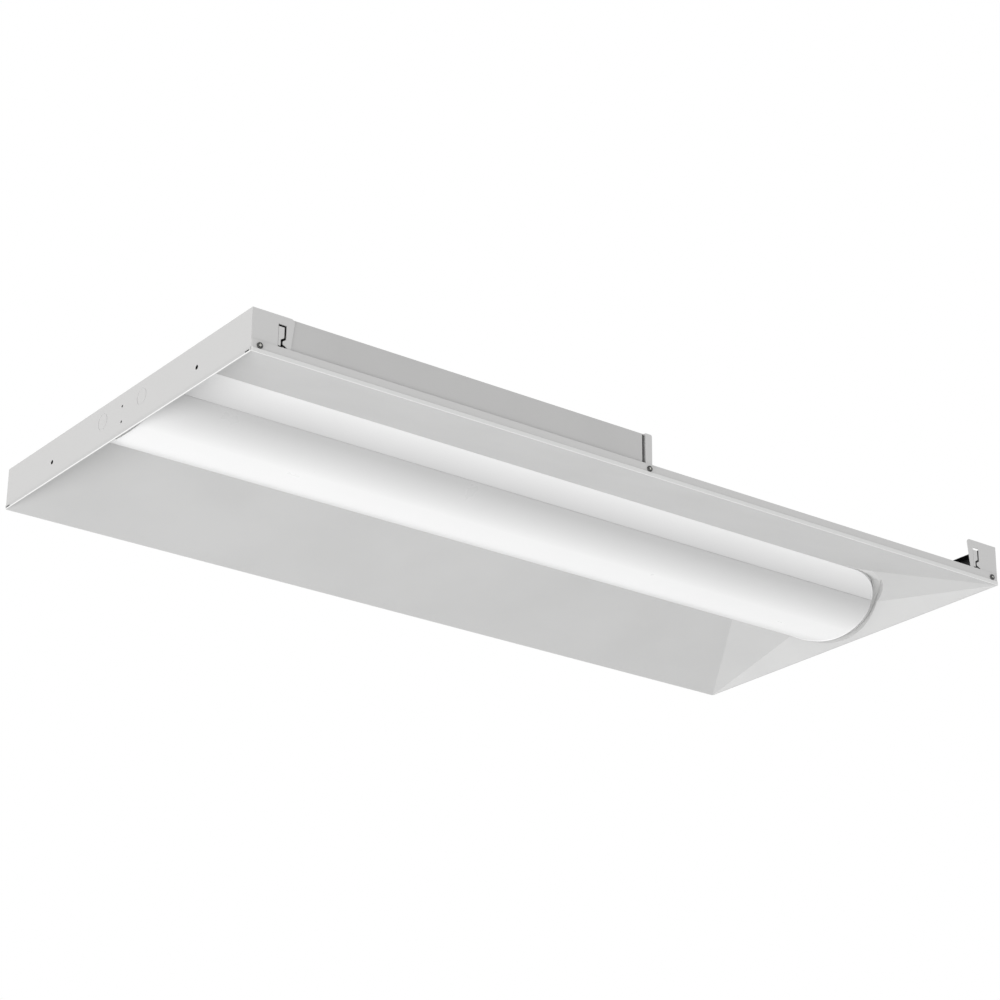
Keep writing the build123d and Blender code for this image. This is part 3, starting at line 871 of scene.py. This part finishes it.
@dataclass
class Screws:
    """Pan-head screws with a cross recess."""

    materials: dict[str, bpy.types.Material]
    shank_radius: float = 0.00175
    shank_length: float = 0.007
    head_radius: float = 0.004
    head_height: float = 0.0022
    recess_radius: float = 0.0024
    recess_width: float = 0.0013
    recess_depth: float = 0.0015
    floor_radius: float = 0.0026
    floor_height: float = 0.0004
    floor_drop: float = 0.00025
    floor_rim_share: float = 0.3
    floor_dish_share: float = 0.3
    recess_taper: float = 0.55
    cutter_rise: float = 0.0002
    head_steps: tuple[Span, ...] = ((0.45, 1.0), (0.28, 0.93), (0.17, 0.82), (0.10, 0.70))
    first_spin: float = 0.3
    spin_step: float = 0.7
    sides: int = 32

    def build(self, sets: list[ScrewSet]) -> None:
        """Makes every set of screws from one modelled screw.

        Args:
            sets: The sets.
        """
        pattern = self._screw()
        floor_pattern = self._recess_floor()
        for group in sets:
            for index, place in enumerate(group.places):
                turn = group.turn
                if group.flip_rear and place[1] > 0:
                    turn = (-turn[0], turn[1], turn[2])
                spin = Matrix.Rotation(self.spin_step * index + self.first_spin, 4, "Z")
                seat = (
                    Matrix.Translation(place)
                    @ Euler(turn).to_matrix().to_4x4()
                    @ spin
                    @ Matrix.Scale(group.scale, 4)
                )
                name = f"{group.node}_{index + 1}"
                self._seat(pattern, seat, name, group.slot, group.node)
                if group.bright_recess:
                    name = f"{name}_recess"
                    self._seat(floor_pattern, seat, name, "zinc_screw", group.node)
        remove(floor_pattern)
        remove(pattern)

    def _seat(
        self, pattern: bpy.types.Object, seat: Matrix, name: str, slot: str, node: str
    ) -> None:
        """Copies a modelled piece into its place.

        Args:
            pattern: The modelled piece.
            seat: Where the copy goes.
            name: The copy's name.
            slot: The copy's material slot.
            node: The node that it stands for.
        """
        piece = own_copy(pattern)
        piece.matrix_world = seat
        apply_place(piece)
        finish_piece(piece, name, self.materials[slot])
        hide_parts(node)

    def _recess_floor(self) -> bpy.types.Object:
        """Models a bright steel disc laid into a black screw's recess, which makes the head's
        centre lighter.

        Returns:
            The recess's floor.
        """
        deselect()
        bpy.ops.mesh.primitive_cylinder_add(
            vertices=self.sides,
            radius=self.floor_radius,
            depth=self.floor_height,
            location=(0.0, 0.0, self.head_height - self.floor_drop - 0.5 * self.floor_height),
        )
        floor = bpy.context.active_object
        apply_place(floor)
        choose(floor, lambda face: face.normal.z > CAP_FACING)
        bpy.ops.mesh.inset(thickness=self.floor_rim_share * self.floor_radius)
        dish = self.floor_dish_share * self.floor_height
        bpy.ops.transform.translate(value=(0.0, 0.0, -dish))
        bpy.ops.object.mode_set(mode="OBJECT")
        mend(floor)
        return floor

    def _screw(self) -> bpy.types.Object:
        """Models the screw, with the underside of its head at the origin.

        Returns:
            The screw.
        """
        deselect()
        bpy.ops.mesh.primitive_cylinder_add(
            vertices=self.sides,
            radius=self.shank_radius,
            depth=self.shank_length,
            location=(0.0, 0.0, -0.5 * self.shank_length),
        )
        screw = bpy.context.active_object
        apply_place(screw)
        choose(screw, lambda face: face.normal.z > CAP_FACING)
        grow(0.0, self.head_radius / self.shank_radius)
        for rise, size in self.head_steps:
            grow(rise * self.head_height, size)
        bpy.ops.object.mode_set(mode="OBJECT")
        for angle in (0.0, QUARTER_TURN):
            cutter = self._recess_wing(angle)
            cut = screw.modifiers.new("recess", "BOOLEAN")
            cut.operation = "DIFFERENCE"
            cut.solver = "EXACT"
            cut.object = cutter
            apply_all(screw)
            remove(cutter)
        mend(screw)
        return screw

    def _recess_wing(self, angle: float) -> bpy.types.Object:
        """Models one tapered bar of the cross recess.

        Args:
            angle: The bar's turn about the screw.

        Returns:
            The cutter.
        """
        height = self.recess_depth + self.cutter_rise
        middle = self.head_height - 0.5 * self.recess_depth + 0.5 * self.cutter_rise
        taper = self.recess_taper
        deselect()
        bpy.ops.mesh.primitive_cube_add(
            size=1.0,
            location=(0.0, 0.0, middle),
            rotation=(0.0, 0.0, angle),
            scale=(2.0 * self.recess_radius, self.recess_width, height),
        )
        wing = bpy.context.active_object
        apply_place(wing)
        choose(wing, lambda face: face.normal.z < -CAP_FACING)
        bpy.ops.transform.resize(value=(taper, taper, 1.0), center_override=ORIGIN)
        bpy.ops.object.mode_set(mode="OBJECT")
        return wing


SMALL_SCREW = 0.8
TOP_Z = 0.0565
RAIL_SCREW_X = (-0.5947, -0.0167, 0.5947)
RAIL_SCREW_Y, RAIL_SCREW_Z = 0.3007, 0.0094
ACCESS_X, ACCESS_Y = -0.4, 0.228
ACCESS_SCREW_DX, ACCESS_SCREW_DY = 0.059, 0.039
COVER_SCREW_X, COVER_SCREW_Y = -0.5999, 0.2265
DRIVER_SCREW_X = (-0.487, -0.193)
DRIVER_SCREW_Y, DRIVER_SCREW_Z = -0.262, 0.0537

SCREW_SETS = [
    ScrewSet(
        "rail_screws",
        "black_screw",
        1.0,
        (QUARTER_TURN, 0.0, 0.0),
        tuple((x, side * RAIL_SCREW_Y, RAIL_SCREW_Z) for side in SIDES for x in RAIL_SCREW_X),
        flip_rear=True,
        bright_recess=True,
    ),
    ScrewSet(
        "access_plate_screws",
        "zinc_screw",
        SMALL_SCREW,
        ORIGIN,
        tuple(
            (ACCESS_X + along * ACCESS_SCREW_DX, ACCESS_Y + across * ACCESS_SCREW_DY, TOP_Z)
            for along in SIDES
            for across in SIDES
        ),
    ),
    ScrewSet(
        "cover_screws",
        "zinc_screw",
        SMALL_SCREW,
        ORIGIN,
        tuple((COVER_SCREW_X, side * COVER_SCREW_Y, TOP_Z) for side in SIDES),
    ),
    ScrewSet(
        "driver_screws",
        "zinc_screw",
        SMALL_SCREW,
        (math.pi, 0.0, 0.0),
        tuple((x, DRIVER_SCREW_Y, DRIVER_SCREW_Z) for x in DRIVER_SCREW_X),
    ),
]


# ---------------------------------------------------------------- sheet details
@dataclass
class Knockouts:
    """Shallow painted rings in the knockouts' slots."""

    material: bpy.types.Material
    outer_radius: float = 0.0111
    slot_width: float = 0.0009
    wall: float = 0.0004
    sides: int = 64
    end_x: float = 0.6051
    end_y: float = 0.048
    end_z: float = 0.035
    access_z: float = 0.0559

    def build(self) -> None:
        """Makes one ring and copies it into each knockout."""
        pattern = self._ring()
        upright = Euler((0.0, QUARTER_TURN, 0.0)).to_matrix().to_4x4()
        flat = Matrix.Identity(4)
        places = [
            (f"knockout_ring_{end}_{side}", (x, y, self.end_z), upright)
            for end, x in (("left", -self.end_x), ("right", self.end_x))
            for side, y in (("front", -self.end_y), ("rear", self.end_y))
        ]
        places.append(("knockout_ring_access", (ACCESS_X, ACCESS_Y, self.access_z), flat))
        for name, place, turn in places:
            ring = own_copy(pattern)
            ring.matrix_world = Matrix.Translation(place) @ turn
            apply_place(ring)
            finish_piece(ring, name, self.material)
        remove(pattern)

    def _ring(self) -> bpy.types.Object:
        """Models one flat ring about the origin.

        Returns:
            The ring.
        """
        deselect()
        bpy.ops.mesh.primitive_cylinder_add(
            vertices=self.sides, radius=self.outer_radius, depth=self.wall, location=ORIGIN
        )
        ring = bpy.context.active_object
        apply_place(ring)
        choose(ring, lambda face: abs(face.normal.z) > CAP_FACING)
        bpy.ops.mesh.inset(thickness=self.slot_width)
        bpy.ops.mesh.delete(type="FACE")
        bpy.ops.mesh.select_mode(type="EDGE")
        bpy.ops.mesh.select_all(action="DESELECT")
        bpy.ops.mesh.select_non_manifold()
        bpy.ops.mesh.bridge_edge_loops()
        bpy.ops.object.mode_set(mode="OBJECT")
        mend(ring)
        return ring


@dataclass
class EarPlate:
    """Two-leaf plate that closes the opening's rear ear, flush with the reflector."""

    material: bpy.types.Material
    wall: float = 0.0005
    flare_start: Point = (0.482, 0.1295, 0.0508)
    ear: Point = (0.512, 0.1515, 0.0)
    mitre: Point = (0.4982, 0.1295, 0.0508)
    crease: Point = (0.5793, 0.091, 0.0319)
    corner: Point = (0.6049, 0.2999, 0.0)
    slope_run: float = 0.1704
    slope_rise: float = 0.0508
    shoulder_middle: Point = (0.512, 0.1015, 0.0)
    shoulder_radius: float = 0.050
    crown_middle: Point = (0.3994, 0.0, 0.0)
    crown_radius: float = 0.2016
    shoulder_angle: float = 90.0
    join_angle: float = 42.0
    crease_angle: float = 26.8
    step: float = 4.0
    blank_size: float = 0.6
    smooth_angle: float = 10.0

    def build(self) -> None:
        """Makes both leaves and joins them."""
        mitre = Vector(self.mitre)
        mitre_line = Vector(self.corner) - mitre
        across = Vector((mitre_line.y, -mitre_line.x, 0.0)).normalized()
        flare_start = Vector(self.flare_start)
        flare = Vector(self.ear) - flare_start
        slope = self._leaf(
            Vector((0.0, self.slope_rise, self.slope_run)).normalized(),
            [
                (mitre, Vector((0.0, -1.0, 0.0))),
                (flare_start, Vector((-flare.y, flare.x, 0.0)).normalized()),
                (mitre, across),
            ],
        )
        inner = Vector(self.crease) - mitre
        start, join, end = self.shoulder_angle, self.join_angle, self.crease_angle
        facet = self._leaf(
            inner.cross(mitre_line).normalized(),
            [
                (mitre, -across),
                (mitre, Vector((inner.y, -inner.x, 0.0)).normalized()),
                *self._round_cuts(self.shoulder_middle, self.shoulder_radius, start, join),
                *self._round_cuts(self.crown_middle, self.crown_radius, join, end),
            ],
        )
        deselect()
        facet.select_set(True)
        slope.select_set(True)
        bpy.context.view_layer.objects.active = slope
        bpy.ops.object.join()
        mend(slope, self.smooth_angle)
        wall = slope.modifiers.new("wall", "SOLIDIFY")
        wall.thickness = self.wall
        wall.offset = -1.0 if slope.data.polygons[0].normal.z < 0 else 1.0
        apply_all(slope)
        mend(slope, self.smooth_angle)
        finish_piece(slope, "rear_ear_plate", self.material)

    def _round_cuts(self, middle: Point, radius: float, start: float, end: float) -> list[Cut]:
        """Plans upright cuts along a round edge.

        Args:
            middle: The arc's middle.
            radius: The arc's radius.
            start: The first angle in degrees.
            end: The last angle in degrees.

        Returns:
            A point and an outward normal for each cut.
        """
        count = round((start - end) / self.step)
        cuts = []
        for i in range(count + 1):
            angle = math.radians(start + (end - start) * i / count)
            outward = Vector((math.cos(angle), math.sin(angle), 0.0))
            cuts.append((Vector(middle) + outward * radius, outward))
        return cuts

    def _leaf(self, up: Vector, cuts: list[Cut]) -> bpy.types.Object:
        """Cuts one flat leaf out of a plane through the mitre.

        Args:
            up: The plane's normal.
            cuts: A point and an outward normal for each straight cut.

        Returns:
            The leaf.
        """
        deselect()
        bpy.ops.mesh.primitive_plane_add(
            size=self.blank_size,
            location=self.mitre,
            rotation=up.to_track_quat("Z", "Y").to_euler(),
        )
        leaf = bpy.context.active_object
        apply_place(leaf)
        select_only(leaf)
        bpy.ops.object.mode_set(mode="EDIT")
        for point, outward in cuts:
            bpy.ops.mesh.select_all(action="SELECT")
            bpy.ops.mesh.bisect(plane_co=point, plane_no=outward, clear_outer=True)
        bpy.ops.object.mode_set(mode="OBJECT")
        return leaf


# ---------------------------------------------------------------- lens details
@dataclass
class RimBead:
    """Fine moulded bead along the lens's two end edges."""

    node: bpy.types.Object
    material: bpy.types.Material
    radius: float = 0.0006
    valley_y: float = 0.089
    valley_z: float = 0.032
    bottom_z: float = 0.005
    wing_slope: float = 0.4677
    half_width: float = 0.1289
    end_from: float = 0.45
    tolerance: float = 0.00012
    round_steps: int = 2
    smooth_angle: float = 60.0

    def build(self) -> None:
        """Makes the bead out of the lens's own edges."""
        shell = own_copy(self.node)
        for key in list(shell.keys()):
            del shell[key]
        shell.parent = None
        shell.modifiers.clear()
        select_only(shell)
        bpy.ops.object.mode_set(mode="EDIT")
        bpy.ops.mesh.select_all(action="SELECT")
        bpy.ops.mesh.remove_doubles(threshold=MERGE_DISTANCE)
        bpy.ops.mesh.select_all(action="DESELECT")
        bpy.ops.mesh.select_mode(type="EDGE")
        bpy.ops.object.mode_set(mode="OBJECT")
        points = [vertex.co.copy() for vertex in shell.data.vertices]
        for edge in shell.data.edges:
            edge.select = all(self._on_end_edge(points[i]) for i in edge.vertices)
        bpy.ops.object.mode_set(mode="EDIT")
        bpy.ops.mesh.duplicate()
        bpy.ops.mesh.separate(type="SELECTED")
        bpy.ops.object.mode_set(mode="OBJECT")
        bead = next(piece for piece in bpy.context.selected_objects if piece is not shell)
        remove(shell)
        select_only(bead)
        bpy.ops.object.convert(target="CURVE")
        bead.data.bevel_depth = self.radius
        bead.data.bevel_resolution = self.round_steps
        bead.data.use_fill_caps = True
        bpy.ops.object.convert(target="MESH")
        mend(bead, self.smooth_angle)
        finish_piece(bead, "lens_rim_bead", self.material)

    def _on_end_edge(self, point: Vector) -> bool:
        """Says whether a point lies on the lower edge of an end wall.

        Args:
            point: The point.

        Returns:
            True for a point of the room face's outline at either end.
        """
        reach = abs(point.y)
        if reach > self.half_width or abs(point.x) < self.end_from:
            return False
        if reach < self.valley_y:
            drop = self.valley_z - self.bottom_z
            radius = 0.5 * (self.valley_y**2 + drop**2) / drop
            face_z = self.bottom_z + radius - math.sqrt(radius**2 - reach**2)
        else:
            face_z = self.valley_z + self.wing_slope * (reach - self.valley_y)
        return abs(point.z - face_z) < self.tolerance


@dataclass
class Dressing:
    """Puts the finishes on the solids of the frame."""

    frame: dict
    materials: dict[str, bpy.types.Material]

    def build(self) -> None:
        """Gives every node its slot's material."""
        for part in self.frame["record"]["subparts"]:
            node = self.frame["nodes"][part["node"]]
            node.data.materials.clear()
            node.data.materials.append(self.materials[part["material_slot"]])
            LOG.info("dressed %s", part["node"])


def main() -> None:
    """Builds the whole scene."""
    logging.basicConfig(level=logging.INFO, format="%(message)s")
    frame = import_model()
    Camera().build()
    Studio(lamps=[KEY_LAMP]).build()
    materials = {slot: finish.build(slot) for slot, finish in FINISHES.items()}
    Dressing(frame, materials).build()
    Screws(materials).build(SCREW_SETS)
    Knockouts(materials["body_paint"]).build()
    EarPlate(materials["reflector_paint"]).build()
    RimBead(frame["nodes"]["lens"], materials["lens_acrylic"]).build()


if __name__ == "__main__":
    main()
